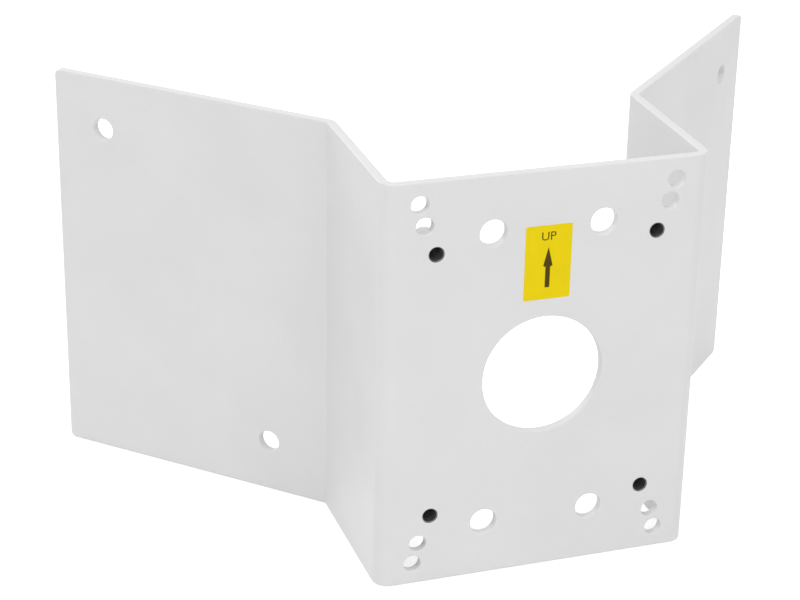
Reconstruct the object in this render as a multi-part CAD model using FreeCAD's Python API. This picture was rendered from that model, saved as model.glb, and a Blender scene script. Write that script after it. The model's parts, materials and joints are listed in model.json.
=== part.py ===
# Corner bracket for a camera arm, to be fixed on the outer corner of a building.
# One steel sheet is folded four times: a front plate that carries the arm, two webs
# that run straight back from it, and two wings that lie on the two walls.
# Four threaded bushes take the arm's bolts, and a label shows which way up it goes.
#
# The bracket stands as it is used: +Z is up, the front plate faces -Y, and the walls
# are on the +Y side. The origin is under the middle of the bracket, at its lower edge.

import FreeCAD, Part
import math
import os

# Sheet
sheet_thickness = 5.0
inside_bend_radius = 3.5
edge_chamfer = 0.4             # the cut edges, broken before coating

# Overall form. Lengths run to the sharp corners that the bends round off.
bracket_height = 220.0
front_width = 172.0            # over the outer faces of both webs
web_depth = 93.0               # from the front face to the corner of web and wing
wing_length = 165.0            # from that corner to the wing's outer end
wing_angle_deg = 45.0          # from the front plate's direction, towards the walls
wing_corner_radius = 3.0

# Cable hole, in the middle of the front plate
cable_hole_diameter = 64.0

# Four threaded bushes for the arm's bolts
bush_spacing_x = 116.0
bush_spacing_z = 144.0
bush_bore_diameter = 6.8
bush_bore_chamfer = 0.6
bush_spigot_diameter = 10.5    # the stretch that fills the sheet
bush_spigot_clearance = 0.02   # all round the spigot
bush_barrel_diameter = 12.5
bush_barrel_length = 17.0      # behind the sheet
bush_barrel_chamfer = 0.5

# Plain holes of the front plate, four in each rectangle
large_hole_diameter = 14.0
large_hole_spacing_x = 58.0
large_hole_spacing_z = 160.0
small_hole_diameter = 9.0
outer_hole_from_side = 19.0    # from the web's outer face to the hole's middle
outer_hole_spacing_z = 197.0
inner_hole_from_side = 21.75
inner_hole_spacing_z = 174.5

# Wall holes, two in each wing, set diagonally
wall_hole_diameter = 12.0
upper_wall_hole_from_end = 29.5
upper_wall_hole_from_top = 29.0
lower_wall_hole_from_bend = 35.0
lower_wall_hole_from_bottom = 29.0

# Label on the front plate
label_width = 24.5
label_height = 39.5
label_thickness = 0.15
label_corner_radius = 0.9
label_above_middle = 61.5

# What follows from the sizes above
wing_angle = math.radians(wing_angle_deg)
outside_bend_radius = inside_bend_radius + sheet_thickness
sheet_depth = web_depth + wing_length * math.sin(wing_angle) + sheet_thickness * math.cos(wing_angle)
rear_edge_loss = edge_chamfer * min(math.sin(wing_angle), math.cos(wing_angle))
front_y = (label_thickness - sheet_depth + rear_edge_loss) / 2
middle_z = bracket_height / 2
outer_hole_spacing_x = front_width - 2 * outer_hole_from_side
inner_hole_spacing_x = front_width - 2 * inner_hole_from_side
drill_margin = 1.0             # how far each drill runs past the sheet


def vec(x, y, z=0.0):
    """A point or direction."""
    return FreeCAD.Vector(x, y, z)


def wing_point(side, along, inward, z=0.0):
    """A point of a wing: along it from the bend corner, and inward from its front face to its wall face."""
    x = front_width / 2 + along * math.cos(wing_angle) - inward * math.sin(wing_angle)
    y = front_y + web_depth + along * math.sin(wing_angle) + inward * math.cos(wing_angle)
    return vec(side * x, y, z)


def face_corners(inward):
    """The sharp corners of one face of the sheet, from the left wing's end to the right wing's end."""
    web_x = front_width / 2 - inward
    rear_y = front_y + web_depth + inward * math.tan(math.pi / 4 - wing_angle / 2)
    right = [vec(web_x, front_y + inward), vec(web_x, rear_y), wing_point(1, wing_length, inward)]
    left = [vec(-p.x, p.y) for p in reversed(right)]
    return left + right


def bent_line(corners, radii):
    """Straight edges through the corners, joined by tangent arcs of the given radii."""
    edges = []
    start = corners[0]
    for before, corner, after, radius in zip(corners, corners[1:], corners[2:], radii):
        arriving = (corner - before).normalize()
        leaving = (after - corner).normalize()
        setback = radius * math.tan(arriving.getAngle(leaving) / 2)
        arc_start = corner - arriving * setback
        arc_end = corner + leaving * setback
        towards_centre = (leaving - arriving).normalize()
        centre_distance = math.hypot(radius, setback)
        arc_middle = corner + towards_centre * (centre_distance - radius)
        edges.append(Part.LineSegment(start, arc_start).toShape())
        edges.append(Part.Arc(arc_start, arc_middle, arc_end).toShape())
        start = arc_end
    edges.append(Part.LineSegment(start, corners[-1]).toShape())
    return edges


def sheet_section():
    """The folded sheet seen from above: its front face, its wall face and the two wing ends."""
    front = face_corners(0.0)
    back = face_corners(sheet_thickness)
    front_radii = [inside_bend_radius, outside_bend_radius, outside_bend_radius, inside_bend_radius]
    back_radii = [outside_bend_radius, inside_bend_radius, inside_bend_radius, outside_bend_radius]
    edges = bent_line(front, front_radii) + bent_line(back, back_radii)
    edges.append(Part.LineSegment(front[0], back[0]).toShape())
    edges.append(Part.LineSegment(front[-1], back[-1]).toShape())
    return Part.Face(Part.Wire(Part.__sortEdges__(edges)))


def rectangle_places(spacing_x, spacing_z):
    """The four places of a rectangular hole pattern about the front plate's middle, on its front face."""
    return [
        vec(sign_x * spacing_x / 2, front_y, middle_z + sign_z * spacing_z / 2)
        for sign_z in (1, -1)
        for sign_x in (-1, 1)
    ]


def drill(place, direction, diameter):
    """A round cutter that runs through the sheet from a place on its front face."""
    start = place - direction * drill_margin
    return Part.makeCylinder(diameter / 2, sheet_thickness + 2 * drill_margin, start, direction)


def plate_drills(places, diameter):
    """Drills through the front plate."""
    return [drill(place, vec(0, 1, 0), diameter) for place in places]


def wall_drills():
    """Drills through both wings, square to them: one high near the end, one low near the bend."""
    upper = (wing_length - upper_wall_hole_from_end, bracket_height - upper_wall_hole_from_top)
    lower = (lower_wall_hole_from_bend, lower_wall_hole_from_bottom)
    drills = []
    for side in (-1, 1):
        towards_wall = vec(-side * math.sin(wing_angle), math.cos(wing_angle), 0)
        for along, z in (upper, lower):
            drills.append(drill(wing_point(side, along, 0.0, z), towards_wall, wall_hole_diameter))
    return drills


def is_wing_corner(edge):
    """True for the four short edges across the sheet at the wings' outer ends."""
    ends = [vertex.Point for vertex in edge.Vertexes]
    reach = abs(wing_point(1, wing_length, sheet_thickness).x)
    level = abs(ends[0].z - ends[-1].z) < 1e-6
    short = abs(edge.Length - sheet_thickness) < 1e-6
    return level and short and all(abs(p.x) > reach - 1e-6 for p in ends)


def is_sharp(solid, edge):
    """True where the two faces at an edge meet at an angle, and not smoothly as at a bend."""
    middle = edge.valueAt((edge.FirstParameter + edge.LastParameter) / 2)
    normals = []
    for face in solid.ancestorsOfType(edge, Part.Face):
        u, v = face.Surface.parameter(middle)
        normals.append(face.normalAt(u, v))
    return len(normals) == 2 and normals[0].getAngle(normals[1]) > math.radians(20)


def folded_plate():
    """The folded sheet with its holes and broken edges."""
    sheet = sheet_section().extrude(vec(0, 0, bracket_height))
    corner_edges = [edge for edge in sheet.Edges if is_wing_corner(edge)]
    sheet = sheet.makeFillet(wing_corner_radius, corner_edges)

    drills = plate_drills([vec(0, front_y, middle_z)], cable_hole_diameter)
    drills += plate_drills(rectangle_places(large_hole_spacing_x, large_hole_spacing_z), large_hole_diameter)
    drills += plate_drills(rectangle_places(outer_hole_spacing_x, outer_hole_spacing_z), small_hole_diameter)
    drills += plate_drills(rectangle_places(inner_hole_spacing_x, inner_hole_spacing_z), small_hole_diameter)
    drills += wall_drills()
    sheet = sheet.cut(drills)
    sheet = sheet.makeChamfer(edge_chamfer, [edge for edge in sheet.Edges if is_sharp(sheet, edge)])

    seat_diameter = bush_spigot_diameter + 2 * bush_spigot_clearance
    return sheet.cut(plate_drills(rectangle_places(bush_spacing_x, bush_spacing_z), seat_diameter))


def threaded_bush(place):
    """A bush whose spigot fills the sheet flush with its front face, and whose barrel stands behind it."""
    bore_radius = bush_bore_diameter / 2
    mouth_radius = bore_radius + bush_bore_chamfer
    spigot_radius = bush_spigot_diameter / 2
    barrel_radius = bush_barrel_diameter / 2
    length = sheet_thickness + bush_barrel_length
    half_section = [
        vec(mouth_radius, 0),
        vec(spigot_radius, 0),
        vec(spigot_radius, sheet_thickness),
        vec(barrel_radius, sheet_thickness),
        vec(barrel_radius, length - bush_barrel_chamfer),
        vec(barrel_radius - bush_barrel_chamfer, length),
        vec(mouth_radius, length),
        vec(bore_radius, length - bush_bore_chamfer),
        vec(bore_radius, bush_bore_chamfer),
        vec(mouth_radius, 0),
    ]
    bush = Part.Face(Part.makePolygon(half_section)).revolve(vec(0, 0, 0), vec(0, 1, 0), 360)
    bush.translate(place)
    return bush


def up_label():
    """The sticker on the front face, a thin film with rounded corners."""
    corner = vec(-label_width / 2, front_y - label_thickness, middle_z + label_above_middle - label_height / 2)
    film = Part.makeBox(label_width, label_thickness, label_height, corner)
    across = [edge for edge in film.Edges if abs(edge.Length - label_thickness) < 1e-6]
    return film.makeFillet(label_corner_radius, across)


parts = {"folded_plate": folded_plate(), "up_label": up_label()}
bush_names = ("upper_left", "upper_right", "lower_left", "lower_right")
for name, place in zip(bush_names, rectangle_places(bush_spacing_x, bush_spacing_z)):
    parts["threaded_bush_" + name] = threaded_bush(place)

os.makedirs("parts", exist_ok=True)
for name, shape in parts.items():
    shape.exportStep("parts/" + name + ".step")
    box = shape.BoundBox
    print(f"{name}: valid {shape.isValid()}, solids {len(shape.Solids)}, volume {shape.Volume:.1f} mm3,",
          f"box {box.XLength:.2f} x {box.YLength:.2f} x {box.ZLength:.2f} mm")
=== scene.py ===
"""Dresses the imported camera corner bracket: coated sheet, threaded bushes, label, studio and camera.

The sheet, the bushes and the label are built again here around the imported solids, with the round edges,
the thread and the print that the plain solids leave out. All sizes are in metres, in the frame of the part.
"""

import json
import logging
import math
from collections.abc import Iterable
from dataclasses import dataclass
from enum import Enum
import bmesh
import bpy
from mathutils import Matrix, Vector


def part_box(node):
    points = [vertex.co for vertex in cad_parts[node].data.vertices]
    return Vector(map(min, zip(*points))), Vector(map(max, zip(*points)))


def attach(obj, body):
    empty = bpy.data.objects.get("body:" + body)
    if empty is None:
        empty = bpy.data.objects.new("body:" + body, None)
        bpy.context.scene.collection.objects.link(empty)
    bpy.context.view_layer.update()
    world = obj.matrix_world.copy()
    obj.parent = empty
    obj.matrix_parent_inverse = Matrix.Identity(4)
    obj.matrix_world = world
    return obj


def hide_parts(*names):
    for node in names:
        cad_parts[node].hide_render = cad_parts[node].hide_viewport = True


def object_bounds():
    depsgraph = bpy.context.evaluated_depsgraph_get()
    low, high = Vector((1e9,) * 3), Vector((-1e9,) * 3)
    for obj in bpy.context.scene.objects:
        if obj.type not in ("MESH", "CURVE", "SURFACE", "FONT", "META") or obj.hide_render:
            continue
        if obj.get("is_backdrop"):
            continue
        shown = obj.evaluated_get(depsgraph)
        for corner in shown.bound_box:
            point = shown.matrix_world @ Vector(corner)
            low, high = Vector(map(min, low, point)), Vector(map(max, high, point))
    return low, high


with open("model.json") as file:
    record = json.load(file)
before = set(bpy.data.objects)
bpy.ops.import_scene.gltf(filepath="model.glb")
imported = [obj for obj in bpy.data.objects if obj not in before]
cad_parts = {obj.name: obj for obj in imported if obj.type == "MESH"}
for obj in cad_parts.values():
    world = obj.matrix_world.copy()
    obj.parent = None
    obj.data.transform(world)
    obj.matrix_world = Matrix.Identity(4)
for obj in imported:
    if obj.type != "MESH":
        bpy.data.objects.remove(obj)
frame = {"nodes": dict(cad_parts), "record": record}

MM = 0.001
BODY = "root"
BUSH_PREFIX = "threaded_bush_"
UP = Vector((0.0, 0.0, 1.0))
INTO_SHEET = Vector((0.0, 1.0, 0.0))

# Points nearer than the first are merged, and places or lengths nearer than the second count as one.
MERGE_DISTANCE = 1e-7
TOLERANCE = 1e-6

# Degrees over which a fold is a sharp edge to be rounded, and over which an edge is shaded hard.
SHARP_OVER = 40.0
HARD_OVER = 35.0

Element = bmesh.types.BMVert | bmesh.types.BMEdge | bmesh.types.BMFace
Socket = bpy.types.NodeSocket
ScreenColour = tuple[int, int, int]
LinearColour = tuple[float, float, float, float]

log = logging.getLogger("bracket")


def linear(red: int, green: int, blue: int) -> LinearColour:
    """Turns a screen colour into the linear colour that a shader takes.

    Args:
        red: Red, 0 to 255.
        green: Green, 0 to 255.
        blue: Blue, 0 to 255.

    Returns:
        The linear colour with full alpha.
    """
    channels = [value / 255 for value in (red, green, blue)]
    parts = [c / 12.92 if c <= 0.04045 else ((c + 0.055) / 1.055) ** 2.4 for c in channels]
    return parts[0], parts[1], parts[2], 1.0


class Noise(Enum):
    """The kinds of solid noise that the finishes use, by how much fine detail each has."""

    SOFT = 1.0
    FINE = 3.0


class Graph:
    """Adds and joins the nodes of one material, world or group.

    A Mix node has sockets of the same names for numbers and for colours, so its colours go by number.
    """

    NOISE_LOW = 0.3
    NOISE_HIGH = 0.7
    MIX_FIRST_COLOUR = 6
    MIX_SECOND_COLOUR = 7
    MIX_RESULT_COLOUR = 2

    def __init__(self, tree: bpy.types.NodeTree) -> None:
        """Clears the tree that is to be filled."""
        self.tree = tree
        tree.nodes.clear()

    def add(self, kind: str, **settings: object) -> bpy.types.Node:
        """Adds a node.

        Args:
            kind: The node's type name.
            **settings: Properties of the node.

        Returns:
            The new node.
        """
        node = self.tree.nodes.new(kind)
        for name, value in settings.items():
            setattr(node, name, value)
        return node

    def join(self, source: Socket, target: Socket) -> None:
        """Joins an output to an input."""
        self.tree.links.new(source, target)

    def feed(self, source: Socket | float | LinearColour, target: Socket) -> None:
        """Joins an output to an input, or sets the input to a plain value.

        Args:
            source: An output, a number or a colour.
            target: The input.
        """
        if isinstance(source, Socket):
            self.join(source, target)
        else:
            target.default_value = source

    def noise(self, place: Socket, scale: Socket | float, kind: Noise) -> Socket:
        """Adds a solid noise.

        Args:
            place: The coordinates.
            scale: Waves in a metre, as a number or an output.
            kind: How much fine detail it has.

        Returns:
            The noise's value.
        """
        node = self.add("ShaderNodeTexNoise")
        node.inputs["Detail"].default_value = kind.value
        self.feed(scale, node.inputs["Scale"])
        self.join(place, node.inputs["Vector"])
        return node.outputs["Fac"]

    def span(self, value: Socket, low: float = 0.0, high: float = 1.0) -> Socket:
        """Spreads the middle of a noise's range over two values.

        Args:
            value: The noise.
            low: The result where the noise is low.
            high: The result where the noise is high.

        Returns:
            The spread value.
        """
        node = self.add("ShaderNodeMapRange")
        node.inputs["From Min"].default_value = self.NOISE_LOW
        node.inputs["From Max"].default_value = self.NOISE_HIGH
        node.inputs["To Min"].default_value = low
        node.inputs["To Max"].default_value = high
        self.join(value, node.inputs["Value"])
        return node.outputs["Result"]

    def blend(self, share: Socket, first: Socket | LinearColour, second: LinearColour) -> Socket:
        """Blends two colours.

        Args:
            share: How much of the second colour shows.
            first: A colour or a colour output.
            second: A colour.

        Returns:
            The blended colour.
        """
        node = self.add("ShaderNodeMix", data_type="RGBA")
        self.join(share, node.inputs["Factor"])
        self.feed(first, node.inputs[self.MIX_FIRST_COLOUR])
        self.feed(second, node.inputs[self.MIX_SECOND_COLOUR])
        return node.outputs[self.MIX_RESULT_COLOUR]

    def seen_rays(self) -> Socket:
        """Adds a mask of the rays that come from the camera, straight or off a shiny or clear surface.

        Returns:
            The mask, 1 for those rays and 0 for the rays that light the bracket.
        """
        rays = self.add("ShaderNodeLightPath")
        mask = rays.outputs["Is Camera Ray"]
        for kind in ("Is Transmission Ray", "Is Glossy Ray"):
            either = self.add("ShaderNodeMath", operation="MAXIMUM")
            self.join(mask, either.inputs[0])
            self.join(rays.outputs[kind], either.inputs[1])
            mask = either.outputs["Value"]
        return mask


def surface_group() -> bpy.types.NodeTree:
    """Builds the effect that all the finishes share: a soft peel, a fine grain and slow patches.

    Returns:
        The node group.
    """
    name = "surface_texture"
    if name in bpy.data.node_groups:
        return bpy.data.node_groups[name]
    group = bpy.data.node_groups.new(name, "ShaderNodeTree")
    socket = group.interface.new_socket
    socket(name="Place", in_out="INPUT", socket_type="NodeSocketVector")
    for wanted in ("Peel Scale", "Grain Scale", "Patch Scale", "Grain Share"):
        socket(name=wanted, in_out="INPUT", socket_type="NodeSocketFloat")
    for made in ("Height", "Grain", "Patch"):
        socket(name=made, in_out="OUTPUT", socket_type="NodeSocketFloat")

    graph = Graph(group)
    inlet = graph.add("NodeGroupInput")
    outlet = graph.add("NodeGroupOutput")
    values = {}
    for part, kind in (("Peel", Noise.SOFT), ("Grain", Noise.SOFT), ("Patch", Noise.FINE)):
        values[part] = graph.noise(inlet.outputs["Place"], inlet.outputs[part + " Scale"], kind)
    height = graph.add("ShaderNodeMix", data_type="FLOAT")
    graph.join(inlet.outputs["Grain Share"], height.inputs["Factor"])
    graph.join(values["Peel"], height.inputs["A"])
    graph.join(values["Grain"], height.inputs["B"])
    graph.join(height.outputs["Result"], outlet.inputs["Height"])
    graph.join(values["Grain"], outlet.inputs["Grain"])
    graph.join(values["Patch"], outlet.inputs["Patch"])
    return group


@dataclass(frozen=True)
class Finish:
    """A painted, printed or metal surface with its own colour, shine and texture.

    The texture's waves are given by their count in a metre, and its depth in metres.
    """

    name: str
    colour: ScreenColour
    patch_colour: ScreenColour
    grain_colour: ScreenColour
    grain_show: float
    roughness: float
    roughness_play: float
    peel_scale: float
    grain_scale: float
    patch_scale: float
    grain_share: float
    depth: float
    metallic: float = 0.0
    specular: float = 0.5

    def make(self) -> bpy.types.Material:
        """Builds the finish's material once, and gives the same one afterwards.

        Returns:
            The material.
        """
        if self.name in bpy.data.materials:
            return bpy.data.materials[self.name]
        material = bpy.data.materials.new(self.name)
        material.use_nodes = True
        graph = Graph(material.node_tree)
        place = graph.add("ShaderNodeTexCoord").outputs["Object"]
        texture = graph.add("ShaderNodeGroup", node_tree=surface_group())
        graph.join(place, texture.inputs["Place"])
        texture.inputs["Peel Scale"].default_value = self.peel_scale
        texture.inputs["Grain Scale"].default_value = self.grain_scale
        texture.inputs["Patch Scale"].default_value = self.patch_scale
        texture.inputs["Grain Share"].default_value = self.grain_share

        patch = graph.span(texture.outputs["Patch"])
        grain = graph.span(texture.outputs["Grain"], high=self.grain_show)
        colour = graph.blend(patch, linear(*self.colour), linear(*self.patch_colour))
        colour = graph.blend(grain, colour, linear(*self.grain_colour))
        low = self.roughness - self.roughness_play
        high = self.roughness + self.roughness_play
        roughness = graph.span(texture.outputs["Height"], low, high)
        bump = graph.add("ShaderNodeBump")
        bump.inputs["Distance"].default_value = self.depth
        graph.join(texture.outputs["Height"], bump.inputs["Height"])

        shader = graph.add("ShaderNodeBsdfPrincipled")
        graph.join(colour, shader.inputs["Base Color"])
        graph.join(roughness, shader.inputs["Roughness"])
        graph.join(bump.outputs["Normal"], shader.inputs["Normal"])
        shader.inputs["Metallic"].default_value = self.metallic
        shader.inputs["Specular IOR Level"].default_value = self.specular
        outlet = graph.add("ShaderNodeOutputMaterial")
        graph.join(shader.outputs["BSDF"], outlet.inputs["Surface"])
        return material


WHITE_COAT = Finish(
    name="white_powder_coat",
    colour=(226, 226, 226),
    patch_colour=(222, 222, 223),
    grain_colour=(214, 214, 215),
    grain_show=0.25,
    roughness=0.44,
    roughness_play=0.05,
    peel_scale=430.0,
    grain_scale=2600.0,
    patch_scale=22.0,
    grain_share=0.3,
    depth=30e-6,
)
THREAD_STEEL = Finish(
    name="dark_thread_steel",
    colour=(50, 50, 50),
    patch_colour=(42, 42, 42),
    grain_colour=(70, 69, 68),
    grain_show=0.5,
    roughness=0.5,
    roughness_play=0.1,
    peel_scale=1800.0,
    grain_scale=5200.0,
    patch_scale=260.0,
    grain_share=0.6,
    depth=12e-6,
    metallic=0.5,
)
# The lips' steel is a lighter copy of the bore's dark steel. Its lightness is a painted highlight where the
# mouth's chamfer catches the light.
LIP_STEEL_PAINTED_HIGHLIGHT = Finish(
    name="lip_steel_painted_highlight",
    colour=(104, 102, 100),
    patch_colour=(82, 81, 79),
    grain_colour=(134, 131, 127),
    grain_show=0.5,
    roughness=0.42,
    roughness_play=0.1,
    peel_scale=1500.0,
    grain_scale=4800.0,
    patch_scale=420.0,
    grain_share=0.5,
    depth=10e-6,
    metallic=0.5,
)
LABEL_YELLOW = Finish(
    name="yellow_label_film",
    colour=(237, 211, 4),
    patch_colour=(232, 205, 5),
    grain_colour=(243, 220, 22),
    grain_show=0.35,
    roughness=0.5,
    roughness_play=0.06,
    peel_scale=260.0,
    grain_scale=3400.0,
    patch_scale=90.0,
    grain_share=0.25,
    depth=14e-6,
    specular=0.1,
)
LABEL_INK = Finish(
    name="dark_label_ink",
    colour=(78, 62, 4),
    patch_colour=(66, 52, 4),
    grain_colour=(104, 84, 10),
    grain_show=0.4,
    roughness=0.5,
    roughness_play=0.06,
    peel_scale=700.0,
    grain_scale=4200.0,
    patch_scale=300.0,
    grain_share=0.5,
    depth=8e-6,
    specular=0.1,
)
BUSH_FINISHES = (WHITE_COAT, THREAD_STEEL, LIP_STEEL_PAINTED_HIGHLIGHT)


def place_mesh(name: str, mesh: bmesh.types.BMesh) -> bpy.types.Object:
    """Makes an object of a bmesh and adds it to the scene.

    Args:
        name: The object's name.
        mesh: The shape, which is freed here.

    Returns:
        The new object.
    """
    data = bpy.data.meshes.new(name)
    mesh.to_mesh(data)
    mesh.free()
    thing = bpy.data.objects.new(name, data)
    bpy.context.scene.collection.objects.link(thing)
    return thing


def take_mesh(thing: bpy.types.Object) -> bmesh.types.BMesh:
    """Takes an object's shape out of the scene, with what its modifiers or its text make of it.

    Args:
        thing: The object, which is removed here.

    Returns:
        The shape.
    """
    depsgraph = bpy.context.evaluated_depsgraph_get()
    data = bpy.data.meshes.new_from_object(thing.evaluated_get(depsgraph))
    mesh = bmesh.new()
    mesh.from_mesh(data)
    bpy.data.meshes.remove(data)
    bpy.data.objects.remove(thing)
    return mesh


def piece(name: str, mesh: bmesh.types.BMesh, finishes: Iterable[Finish]) -> bpy.types.Object:
    """Makes an object of a finished bmesh, dresses it and lets it ride on the bracket.

    Args:
        name: The piece's name.
        mesh: The shape, which is freed here.
        finishes: One finish for each material index of the shape.

    Returns:
        The new object.
    """
    thing = place_mesh(name, mesh)
    for finish in finishes:
        thing.data.materials.append(finish.make())
    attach(thing, BODY)
    return thing


def smooth(thing: bpy.types.Object, hard_over: float = HARD_OVER) -> None:
    """Shades a piece smooth, with flat faces kept flat and hard edges kept hard.

    Args:
        thing: The piece.
        hard_over: The angle in degrees over which an edge stays hard.
    """
    thing.data.shade_smooth()
    thing.data.set_sharp_from_angle(angle=math.radians(hard_over))
    weighted = thing.modifiers.new("flat_faces_stay_flat", "WEIGHTED_NORMAL")
    weighted.keep_sharp = True


def seal(mesh: bmesh.types.BMesh) -> None:
    """Merges doubled points and turns all faces outwards."""
    bmesh.ops.remove_doubles(mesh, verts=mesh.verts[:], dist=MERGE_DISTANCE)
    bmesh.ops.recalc_face_normals(mesh, faces=mesh.faces[:])


def points_of(made: Iterable[Element]) -> list[bmesh.types.BMVert]:
    """Picks the points from all that an operator made."""
    return [part for part in made if isinstance(part, bmesh.types.BMVert)]


def sharp_edges(mesh: bmesh.types.BMesh) -> list[bmesh.types.BMEdge]:
    """Finds the edges whose two faces meet sharply, which are those still to be rounded."""
    limit = math.radians(SHARP_OVER)
    return [edge for edge in mesh.edges if edge.is_manifold and edge.calc_face_angle() > limit]


def round_edges(
    mesh: bmesh.types.BMesh, edges: Iterable[bmesh.types.BMEdge], radius: float, steps: int
) -> None:
    """Rounds edges.

    Args:
        mesh: The shape.
        edges: The edges to round.
        radius: The radius of the rounding.
        steps: Flat steps across it.
    """
    bmesh.ops.bevel(
        mesh,
        geom=list(edges),
        offset=radius,
        offset_type="OFFSET",
        segments=steps,
        profile=0.5,
        affect="EDGES",
        clamp_overlap=False,
        material=-1,
    )


@dataclass(frozen=True)
class Hole:
    """A round hole through the sheet, with more flat steps round it the larger it is."""

    place: Vector
    direction: Vector
    radius: float
    least_steps: int = 48
    more_steps: int = 8
    more_for_each: float = 2.0 * MM

    def steps(self) -> int:
        """Gives the number of steps round the hole."""
        return self.least_steps + self.more_steps * round(self.radius / self.more_for_each)


@dataclass
class FoldedSheet:
    """The one sheet of the bracket: front plate, two webs and two wings, with round edges and holes.

    The mouths are the four small holes in front of the bushes. A rim is a mouth's where it lies nearer
    to the mouth's middle than the mouth's radius and the reach together.
    """

    thickness: float = 5.0 * MM
    inside_bend: float = 3.5 * MM
    front_width: float = 172.0 * MM
    web_depth: float = 93.0 * MM
    wing_length: float = 165.0 * MM
    wing_angle: float = math.radians(45.0)
    wing_corner: float = 3.0 * MM
    edge_radius: float = 0.64 * MM
    mouth_radius: float = 0.3 * MM
    bush_hole_radius: float = 4.15 * MM
    mouth_reach: float = 3.0 * MM
    drill_margin: float = 7.5 * MM
    bend_step: float = math.radians(5.0)
    corner_steps: int = 8
    edge_steps: int = 3

    def __post_init__(self) -> None:
        """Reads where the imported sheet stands."""
        low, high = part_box("folded_plate")
        self.front_y = low.y
        self.bottom = low.z
        self.height = high.z - low.z
        self.outside_bend = self.inside_bend + self.thickness

    def holes(self) -> list[Hole]:
        """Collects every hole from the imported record's mounts.

        Returns:
            The holes of the front plate and the wings.
        """
        found = []
        for mount in frame["record"]["mounts"]:
            place, direction = Vector(mount["pos_m"]), Vector(mount["axis"])
            sizes = mount["dims"]
            if mount["kind"] == "bore":
                found.append(Hole(place, direction, sizes["r_mm"] * MM))
            if mount["kind"] == "bolt_pattern":
                threaded = mount["name"] == "arm_bolts"
                radius = self.bush_hole_radius if threaded else sizes["hole_r_mm"] * MM
                half_x, half_z = sizes["spacing_x_mm"] * MM / 2, sizes["spacing_y_mm"] * MM / 2
                for side in (-1, 1):
                    for level in (-1, 1):
                        offset = Vector((side * half_x, 0.0, level * half_z))
                        found.append(Hole(place + offset, direction, radius))
        return found

    def _run(self, mesh: bmesh.types.BMesh, edge: bmesh.types.BMEdge, way: Vector) -> bmesh.types.BMEdge:
        """Carries the sheet's end straight on.

        Args:
            mesh: The section so far.
            edge: The end of the section, across the sheet.
            way: How far it goes.

        Returns:
            The new end.
        """
        points = points_of(bmesh.ops.extrude_edge_only(mesh, edges=[edge])["geom"])
        bmesh.ops.translate(mesh, verts=points, vec=way)
        return mesh.edges.get(points)

    def _bend(
        self, mesh: bmesh.types.BMesh, edge: bmesh.types.BMEdge, centre: Vector, turn: float
    ) -> bmesh.types.BMEdge:
        """Carries the sheet's end round a bend.

        Args:
            mesh: The section so far.
            edge: The end of the section, across the sheet.
            centre: The bend's centre.
            turn: The angle, positive to the left.

        Returns:
            The new end.
        """
        last = bmesh.ops.spin(
            mesh,
            geom=[edge, *edge.verts],
            cent=centre,
            axis=UP,
            angle=turn,
            steps=round(abs(turn) / self.bend_step),
            use_duplicate=False,
        )["geom_last"]
        return next(part for part in last if isinstance(part, bmesh.types.BMEdge))

    def _section(self, mesh: bmesh.types.BMesh) -> None:
        """Draws the folded sheet as seen from above, from the left wing's end to the right wing's.

        Args:
            mesh: An empty bmesh.
        """
        heading = Vector((math.cos(self.wing_angle), -math.sin(self.wing_angle), 0.0))
        wing_setback = self.inside_bend * math.tan(self.wing_angle / 2)
        corner = Vector((-self.front_width / 2, self.front_y + self.web_depth, self.bottom))
        front = corner - heading * self.wing_length
        across = Vector((-heading.y, heading.x, 0.0)) * self.thickness
        edge = mesh.edges.new((mesh.verts.new(front), mesh.verts.new(front + across)))

        wing_run = self.wing_length - wing_setback
        web_run = self.web_depth - wing_setback - self.outside_bend
        plate_run = self.front_width - 2 * self.outside_bend
        right_angle = math.pi / 2
        folds = (
            (wing_run, -self.wing_angle),
            (web_run, right_angle),
            (plate_run, right_angle),
            (web_run, -self.wing_angle),
            (wing_run, 0.0),
        )
        for length, turn in folds:
            front += heading * length
            edge = self._run(mesh, edge, heading * length)
            if not turn:
                continue
            left = Vector((-heading.y, heading.x, 0.0))
            centre = front + left * (self.outside_bend if turn > 0 else -self.inside_bend)
            edge = self._bend(mesh, edge, centre, turn)
            swing = Matrix.Rotation(turn, 3, UP)
            front = centre + swing @ (front - centre)
            heading = swing @ heading

    def _blank(self) -> bmesh.types.BMesh:
        """Raises the section to its height and rounds the wings' corners.

        Returns:
            The folded sheet before its holes are cut.
        """
        mesh = bmesh.new()
        self._section(mesh)
        top = points_of(bmesh.ops.extrude_face_region(mesh, geom=mesh.faces[:])["geom"])
        bmesh.ops.translate(mesh, verts=top, vec=UP * self.height)
        seal(mesh)
        reach = max(vert.co.x for vert in mesh.verts) - self.thickness
        corners = [
            edge
            for edge in mesh.edges
            if all(abs(vert.co.x) > reach for vert in edge.verts)
            and abs(edge.verts[0].co.z - edge.verts[1].co.z) < TOLERANCE
            and abs(edge.calc_length() - self.thickness) < TOLERANCE
        ]
        round_edges(mesh, corners, self.wing_corner, self.corner_steps)
        return mesh

    def _drills(self) -> bpy.types.Object:
        """Makes one object of all the round cutters.

        Returns:
            The cutters.
        """
        mesh = bmesh.new()
        for hole in self.holes():
            turned = hole.direction.to_track_quat("Z", "Y").to_matrix().to_4x4()
            bmesh.ops.create_cone(
                mesh,
                cap_ends=True,
                segments=hole.steps(),
                radius1=hole.radius,
                radius2=hole.radius,
                depth=self.thickness + 2 * self.drill_margin,
                matrix=Matrix.Translation(hole.place) @ turned,
            )
        return place_mesh("drills", mesh)

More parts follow.
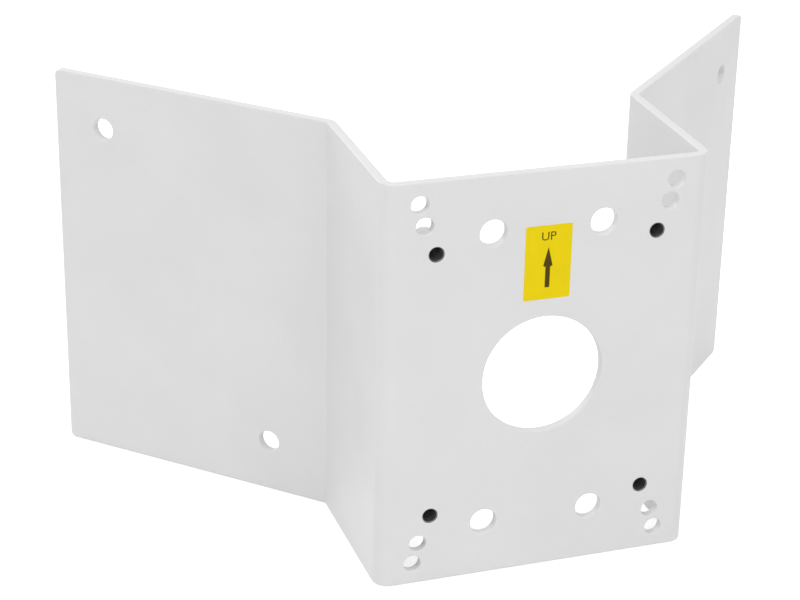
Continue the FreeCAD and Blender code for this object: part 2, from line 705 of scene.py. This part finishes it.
    def _drilled(self, blank: bmesh.types.BMesh) -> bmesh.types.BMesh:
        """Cuts the holes.

        Args:
            blank: The folded sheet, which is freed here.

        Returns:
            The sheet with its holes.
        """
        sheet = place_mesh("blank", blank)
        drills = self._drills()
        cut = sheet.modifiers.new("holes", "BOOLEAN")
        cut.operation = "DIFFERENCE"
        cut.solver = "EXACT"
        cut.object = drills
        mesh = take_mesh(sheet)
        bpy.data.objects.remove(drills)
        return mesh

    def _mouths(self, edges: Iterable[bmesh.types.BMEdge]) -> set[bmesh.types.BMEdge]:
        """Picks the rims of the four small mouths in front of the bushes, which have a finer rounding.

        Args:
            edges: Sharp edges of the drilled sheet.

        Returns:
            The edges of the mouths.
        """
        reach = self.bush_hole_radius + self.mouth_reach
        middles = [hole.place for hole in self.holes() if hole.radius == self.bush_hole_radius]
        return {
            edge
            for edge in edges
            for middle in middles
            if all((vert.co - middle).length < reach for vert in edge.verts)
        }

    def build(self) -> bpy.types.Object:
        """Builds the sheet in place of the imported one.

        Returns:
            The finished piece.
        """
        mesh = self._drilled(self._blank())
        edges = set(sharp_edges(mesh))
        round_edges(mesh, edges - self._mouths(edges), self.edge_radius, self.edge_steps)
        round_edges(mesh, self._mouths(sharp_edges(mesh)), self.mouth_radius, self.edge_steps)
        sheet = piece("coated_sheet", mesh, [WHITE_COAT])
        smooth(sheet)
        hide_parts("folded_plate")
        return sheet


@dataclass
class ThreadedBush:
    """A round bush behind the front plate: a coated barrel with a dark M8 thread in its bore.

    The ridge's half widths are shares of the pitch. At both ends it runs out over a share of a turn,
    down to a share of its height.
    """

    node: str
    sheet: FoldedSheet
    bore_radius: float = 4.0 * MM
    crest_radius: float = 3.4 * MM
    neck_radius: float = 5.2 * MM
    mouth_radius: float = 4.1 * MM
    mouth_depth: float = 0.15 * MM
    lip_radius: float = 3.5 * MM
    lip_depth: float = 0.6 * MM
    lip_back: float = 0.3 * MM
    rim_radius: float = 0.5 * MM
    rim_steps: int = 3
    fillet: float = 0.8 * MM
    fillet_sink: float = 0.2 * MM
    fillet_hollow: float = 0.24 * MM
    pitch: float = 1.25 * MM
    ridge_sink: float = 0.05 * MM
    ridge_foot: float = 0.46
    ridge_crest: float = 0.1
    ridge_end: float = 0.05
    run_out: float = 0.4
    thread_hard_over: float = 30.0
    steps: int = 64
    turn_steps: int = 32

    def __post_init__(self) -> None:
        """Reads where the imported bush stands."""
        low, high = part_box(self.node)
        middle = (low + high) / 2
        self.place = Vector((middle.x, self.sheet.front_y, middle.z))
        self.barrel_radius = (high.x - low.x) / 2
        self.length = high.y - self.sheet.front_y

    def _profile(self) -> list[tuple[float, float]]:
        """Lists the half section, as radius and depth behind the front face.

        Returns:
            The corners, from the bore's mouth round the outside to the bore's rear end.
        """
        back = self.sheet.thickness
        lip = self.mouth_depth + self.lip_depth
        return [
            (self.bore_radius, lip + self.lip_back),
            (self.lip_radius, lip),
            (self.mouth_radius, self.mouth_depth),
            (self.neck_radius, self.mouth_depth),
            (self.neck_radius, back - self.fillet),
            (self.barrel_radius + self.fillet, back - self.fillet_sink),
            (self.barrel_radius + self.fillet, back),
            (self.barrel_radius + self.fillet_hollow, back + self.fillet_hollow),
            (self.barrel_radius, back + self.fillet),
            (self.barrel_radius, self.length),
            (self.mouth_radius, self.length),
            (self.lip_radius, self.length - self.lip_depth),
            (self.bore_radius, self.length - self.lip_depth - self.lip_back),
        ]

    def _body(self) -> bmesh.types.BMesh:
        """Spins the half section into the bush's body.

        Returns:
            The body, with dark steel in its bore and, on the bore's lips, a lighter copy of that steel as a
            painted highlight.
        """
        mesh = bmesh.new()
        points = [mesh.verts.new(self.place + Vector((r, depth, 0.0))) for r, depth in self._profile()]
        ring = [mesh.edges.new(pair) for pair in zip(points, points[1:] + points[:1])]
        bmesh.ops.spin(
            mesh,
            geom=points + ring,
            cent=self.place,
            axis=INTO_SHEET,
            angle=2 * math.pi,
            steps=self.steps,
            use_merge=True,
            use_duplicate=False,
        )
        seal(mesh)
        rear = self.place.y + self.length
        rims = [
            edge
            for edge in sharp_edges(mesh)
            if all(vert.co.y > rear - TOLERANCE for vert in edge.verts)
            and all(self._radius_of(vert.co) > self.barrel_radius - TOLERANCE for vert in edge.verts)
        ]
        round_edges(mesh, rims, self.rim_radius, self.rim_steps)
        for face in mesh.faces:
            radii = [self._radius_of(vert.co) for vert in face.verts]
            if max(radii) < self.mouth_radius + TOLERANCE:
                # Faces on the bore's lips get the lighter steel as a painted highlight. The rest of the
                # bore keeps the dark steel.
                steel = LIP_STEEL_PAINTED_HIGHLIGHT if max(radii) > self.bore_radius + TOLERANCE else THREAD_STEEL
                face.material_index = BUSH_FINISHES.index(steel)
        return mesh

    def _radius_of(self, point: Vector) -> float:
        """Gives a point's distance from the bush's axis."""
        return math.hypot(point.x - self.place.x, point.z - self.place.z)

    def _outwards(self, point: Vector) -> Vector:
        """Gives the direction from the bush's axis straight out to a point."""
        return Vector((point.x - self.place.x, 0.0, point.z - self.place.z)).normalized()

    def _thread(self) -> bmesh.types.BMesh:
        """Winds the thread's ridge along the bore.

        Returns:
            The ridge, sunk a little into the bore's wall and running out into it at both ends.
        """
        mesh = bmesh.new()
        foot = self.bore_radius + self.ridge_sink
        crest = self.crest_radius
        start = self.mouth_depth + self.lip_depth + self.pitch
        half_foot = self.pitch * self.ridge_foot
        half_crest = self.pitch * self.ridge_crest
        section = ((foot, -half_foot), (crest, -half_crest), (crest, half_crest), (foot, half_foot))
        points = [mesh.verts.new(self.place + Vector((r, start + along, 0.0))) for r, along in section]
        face = mesh.faces.new(points)
        turns = math.floor((self.length - start - self.lip_depth - self.pitch) / self.pitch)
        bmesh.ops.spin(
            mesh,
            geom=[face, *face.edges, *face.verts],
            cent=self.place,
            axis=INTO_SHEET,
            dvec=INTO_SHEET * (self.pitch / self.turn_steps),
            angle=2 * math.pi * turns,
            steps=self.turn_steps * turns,
            use_duplicate=False,
        )
        for vert in mesh.verts:
            if self._radius_of(vert.co) < self.bore_radius:
                turn = (vert.co.y - self.place.y - start) / self.pitch
                height = min(1.0, max(self.ridge_end, min(turn, turns - turn) / self.run_out))
                wanted = foot + (crest - foot) * height
                vert.co += self._outwards(vert.co) * (wanted - self._radius_of(vert.co))
        seal(mesh)
        return mesh

    def build(self) -> list[bpy.types.Object]:
        """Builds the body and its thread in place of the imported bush.

        Returns:
            The finished pieces.
        """
        place = self.node.removeprefix(BUSH_PREFIX)
        body = piece("bush_body_" + place, self._body(), BUSH_FINISHES)
        smooth(body)
        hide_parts(self.node)
        thread = piece("bush_thread_" + place, self._thread(), [THREAD_STEEL])
        smooth(thread, self.thread_hard_over)
        return [body, thread]


@dataclass
class UpLabel:
    """The yellow sticker with its arrow and the word that tells which way up the bracket goes.

    The heights of the word's foot and of the arrow's points are above the label's lower edge.
    """

    corner_radius: float = 0.9 * MM
    corner_steps: int = 6
    rim_share: float = 1 / 3
    rim_steps: int = 2
    ink_depth: float = 0.03 * MM
    word_height: float = 4.4 * MM
    word_width: float = 7.5 * MM
    word_foot: float = 31.55 * MM
    curve_steps: int = 6
    arrow_tip: float = 27.85 * MM
    arrow_barb: float = 17.95 * MM
    arrow_neck: float = 17.35 * MM
    arrow_foot: float = 6.35 * MM
    head_width: float = 5.0 * MM
    shaft_width: float = 2.5 * MM

    def __post_init__(self) -> None:
        """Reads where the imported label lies."""
        self.low, self.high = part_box("up_label")
        self.middle_x = (self.low.x + self.high.x) / 2
        self.film_front = self.low.y + self.ink_depth

    def _film(self) -> bmesh.types.BMesh:
        """Cuts the film with its rounded corners.

        Returns:
            The film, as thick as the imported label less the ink.
        """
        mesh = bmesh.new()
        size = self.high - self.low
        middle = (self.low + self.high) / 2
        depth = self.high.y - self.film_front
        place = Matrix.Translation((middle.x, self.film_front + depth / 2, middle.z))
        bmesh.ops.create_cube(mesh, size=1.0, matrix=place @ Matrix.Diagonal((size.x, depth, size.z, 1.0)))
        across = [edge for edge in mesh.edges if abs(edge.calc_length() - depth) < TOLERANCE]
        round_edges(mesh, across, self.corner_radius, self.corner_steps)
        seal(mesh)
        just_behind = self.film_front + TOLERANCE
        rim = [edge for edge in sharp_edges(mesh) if all(vert.co.y < just_behind for vert in edge.verts)]
        round_edges(mesh, rim, depth * self.rim_share, self.rim_steps)
        return mesh

    def _printed(self, mesh: bmesh.types.BMesh) -> bmesh.types.BMesh:
        """Gives a flat shape the ink's depth on both sides of the film's front face.

        Args:
            mesh: Faces that lie in the film's front face.

        Returns:
            The same bmesh, closed.
        """
        front = points_of(bmesh.ops.extrude_face_region(mesh, geom=mesh.faces[:])["geom"])
        bmesh.ops.translate(mesh, verts=mesh.verts[:], vec=INTO_SHEET * self.ink_depth)
        bmesh.ops.translate(mesh, verts=front, vec=-INTO_SHEET * (2 * self.ink_depth))
        seal(mesh)
        return mesh

    def _arrow(self) -> bmesh.types.BMesh:
        """Draws the arrow.

        Returns:
            The arrow in ink.
        """
        mesh = bmesh.new()
        right_side = (
            (0.0, self.arrow_tip),
            (self.head_width / 2, self.arrow_barb),
            (self.shaft_width / 2, self.arrow_neck),
            (self.shaft_width / 2, self.arrow_foot),
            (0.0, self.arrow_foot),
        )
        start = Vector((self.middle_x, self.film_front, self.low.z))
        half = [mesh.verts.new(start + Vector((x, 0.0, rise))) for x, rise in right_side]
        mesh.faces.new(half)
        plane = Matrix.Translation((self.middle_x, 0.0, 0.0))
        whole = mesh.faces[:] + mesh.edges[:] + mesh.verts[:]
        bmesh.ops.mirror(mesh, geom=whole, matrix=plane, merge_dist=TOLERANCE, axis="X")
        seal(mesh)
        return self._printed(mesh)

    def _word(self) -> bmesh.types.BMesh:
        """Sets the word in plain capitals.

        Returns:
            The word in ink.
        """
        text = bpy.data.curves.new("word", "FONT")
        text.body = "UP"
        text.resolution_u = self.curve_steps
        holder = bpy.data.objects.new("word", text)
        bpy.context.scene.collection.objects.link(holder)
        mesh = take_mesh(holder)
        low_x, high_x = min(v.co.x for v in mesh.verts), max(v.co.x for v in mesh.verts)
        low_y, high_y = min(v.co.y for v in mesh.verts), max(v.co.y for v in mesh.verts)
        bmesh.ops.translate(mesh, verts=mesh.verts[:], vec=(-(low_x + high_x) / 2, -low_y, 0.0))
        grow = (self.word_width / (high_x - low_x), self.word_height / (high_y - low_y), 1.0)
        bmesh.ops.scale(mesh, verts=mesh.verts[:], vec=grow)
        upright = Matrix.Rotation(math.pi / 2, 3, "X")
        bmesh.ops.rotate(mesh, verts=mesh.verts[:], cent=(0, 0, 0), matrix=upright)
        foot = (self.middle_x, self.film_front, self.low.z + self.word_foot)
        bmesh.ops.translate(mesh, verts=mesh.verts[:], vec=foot)
        return self._printed(mesh)

    def build(self) -> list[bpy.types.Object]:
        """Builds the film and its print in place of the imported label.

        Returns:
            The finished pieces.
        """
        film = piece("label_film", self._film(), [LABEL_YELLOW])
        smooth(film)
        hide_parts("up_label")
        arrow = piece("label_arrow", self._arrow(), [LABEL_INK])
        word = piece("label_word", self._word(), [LABEL_INK])
        return [film, arrow, word]


@dataclass(frozen=True)
class Lamp:
    """A soft rectangular lamp that points at the bracket."""

    name: str
    place: tuple[float, float, float]
    size: tuple[float, float]
    power: float

    def build(self, aim: Vector) -> None:
        """Hangs the lamp.

        Args:
            aim: The point that it lights.
        """
        data = bpy.data.lights.new(self.name, "AREA")
        data.shape = "RECTANGLE"
        data.size, data.size_y = self.size
        data.energy = self.power
        lamp = bpy.data.objects.new(self.name, data)
        bpy.context.scene.collection.objects.link(lamp)
        lamp.location = self.place
        lamp.rotation_euler = (Vector(self.place) - aim).to_track_quat("Z", "Y").to_euler()


@dataclass(frozen=True)
class Studio:
    """A white floor and surroundings with soft lamps.

    The glow and the sky's strength are for rays that are seen or mirrored. The daylight is for all others.
    """

    floor_size: float = 30.0
    floor_drop: float = 0.2 * MM
    floor_colour: ScreenColour = (244, 244, 244)
    cloud_colour: ScreenColour = (241, 241, 241)
    cloud_scale: float = 3.0
    floor_glow: float = 0.45
    sky_colour: ScreenColour = (255, 255, 255)
    sky_strength: float = 1.0
    daylight: float = 0.675
    lamps: tuple[Lamp, ...] = (
        Lamp("high_front_lamp", (-0.3, -0.8, 2.0), (1.6, 1.6), 17.0),
        Lamp("left_rear_lamp", (-0.95, 1.7, 0.9), (1.6, 1.2), 9.8),
        Lamp("left_lamp", (-1.9, -1.4, 0.3), (1.4, 0.7), 1.2),
        Lamp("right_lamp", (1.1, -2.2, 0.3), (1.8, 0.7), 3.2),
    )

    def _floor_finish(self) -> bpy.types.Material:
        """Builds the floor's material, which shows white, keeps its shadows and is open from below.

        Returns:
            The material.
        """
        material = bpy.data.materials.new("white_floor")
        material.use_nodes = True
        graph = Graph(material.node_tree)
        place = graph.add("ShaderNodeTexCoord").outputs["Object"]
        cloud = graph.span(graph.noise(place, self.cloud_scale, Noise.FINE))
        colour = graph.blend(cloud, linear(*self.floor_colour), linear(*self.cloud_colour))
        shade = graph.add("ShaderNodeBsdfDiffuse")
        graph.join(colour, shade.inputs["Color"])
        strength = graph.add("ShaderNodeMath", operation="MULTIPLY")
        strength.inputs[1].default_value = self.floor_glow
        graph.join(graph.seen_rays(), strength.inputs[0])
        glow = graph.add("ShaderNodeEmission")
        graph.join(strength.outputs["Value"], glow.inputs["Strength"])
        both = graph.add("ShaderNodeAddShader")
        graph.join(shade.outputs["BSDF"], both.inputs[0])
        graph.join(glow.outputs["Emission"], both.inputs[1])
        open_below = graph.add("ShaderNodeMixShader")
        graph.join(graph.add("ShaderNodeNewGeometry").outputs["Backfacing"], open_below.inputs["Fac"])
        graph.join(both.outputs["Shader"], open_below.inputs[1])
        graph.join(graph.add("ShaderNodeBsdfTransparent").outputs["BSDF"], open_below.inputs[2])
        outlet = graph.add("ShaderNodeOutputMaterial")
        graph.join(open_below.outputs["Shader"], outlet.inputs["Surface"])
        return material

    def _floor(self) -> None:
        """Lays the floor just under the bracket."""
        mesh = bmesh.new()
        bmesh.ops.create_grid(mesh, x_segments=2, y_segments=2, size=self.floor_size / 2)
        bmesh.ops.translate(mesh, verts=mesh.verts[:], vec=-UP * self.floor_drop)
        floor = place_mesh("floor", mesh)
        floor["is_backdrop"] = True
        floor.data.materials.append(self._floor_finish())

    def _surroundings(self) -> None:
        """Makes the world white where it is seen or mirrored, and an even soft light elsewhere."""
        world = bpy.data.worlds.new("studio_world")
        bpy.context.scene.world = world
        world.use_nodes = True
        graph = Graph(world.node_tree)
        strength = graph.add("ShaderNodeMapRange")
        strength.inputs["To Min"].default_value = self.daylight
        strength.inputs["To Max"].default_value = self.sky_strength
        graph.join(graph.seen_rays(), strength.inputs["Value"])
        sky = graph.add("ShaderNodeBackground")
        sky.inputs["Color"].default_value = linear(*self.sky_colour)
        graph.join(strength.outputs["Result"], sky.inputs["Strength"])
        outlet = graph.add("ShaderNodeOutputWorld")
        graph.join(sky.outputs["Background"], outlet.inputs["Surface"])

    def build(self) -> None:
        """Sets up the floor, the surroundings and the lamps."""
        low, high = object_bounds()
        self._floor()
        self._surroundings()
        for lamp in self.lamps:
            lamp.build((low + high) / 2)
        bpy.context.scene.view_settings.view_transform = "Standard"


@dataclass(frozen=True)
class Viewpoint:
    """The camera, from high up at the front and a little to the left, as in the photograph."""

    sensor_width: float = 36.0
    lens: float = 103.14
    azimuth: float = math.radians(20.665)
    elevation: float = math.radians(24.186)
    roll: float = math.radians(1.996)
    distance: float = 1.12217
    aim_x: float = -34.98 * MM
    aim_z: float = 155.37 * MM
    shift_x: float = -0.10
    nearest: float = 0.05
    farthest: float = 60.0

    def build(self, front_y: float) -> None:
        """Sets up the camera.

        Args:
            front_y: Where the front face stands.
        """
        data = bpy.data.cameras.new("camera")
        data.sensor_width = self.sensor_width
        data.lens = self.lens
        data.shift_x = self.shift_x
        data.clip_start = self.nearest
        data.clip_end = self.farthest
        camera = bpy.data.objects.new("camera", data)
        bpy.context.scene.collection.objects.link(camera)
        level, rise = math.cos(self.elevation), math.sin(self.elevation)
        back = Vector((-math.sin(self.azimuth) * level, -math.cos(self.azimuth) * level, rise))
        right = (-back).cross(UP).normalized()
        turned = Matrix.Rotation(self.roll, 3, back) @ Matrix((right, back.cross(right), back)).transposed()
        place = Vector((self.aim_x, front_y, self.aim_z)) + back * self.distance
        camera.matrix_world = Matrix.Translation(place) @ turned.to_4x4()
        bpy.context.scene.camera = camera


def main() -> None:
    """Builds every piece of the bracket, then the studio and the camera around it."""
    logging.basicConfig(level=logging.INFO, format="%(name)s: %(message)s")
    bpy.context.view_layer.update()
    sheet = FoldedSheet()
    made = [sheet.build()]
    for node in sorted(name for name in frame["nodes"] if name.startswith(BUSH_PREFIX)):
        made += ThreadedBush(node, sheet).build()
    made += UpLabel().build()
    for thing in made:
        log.info("%s: %d faces", thing.name, len(thing.data.polygons))
    Studio().build()
    Viewpoint().build(sheet.front_y)


if __name__ == "__main__":
    main()
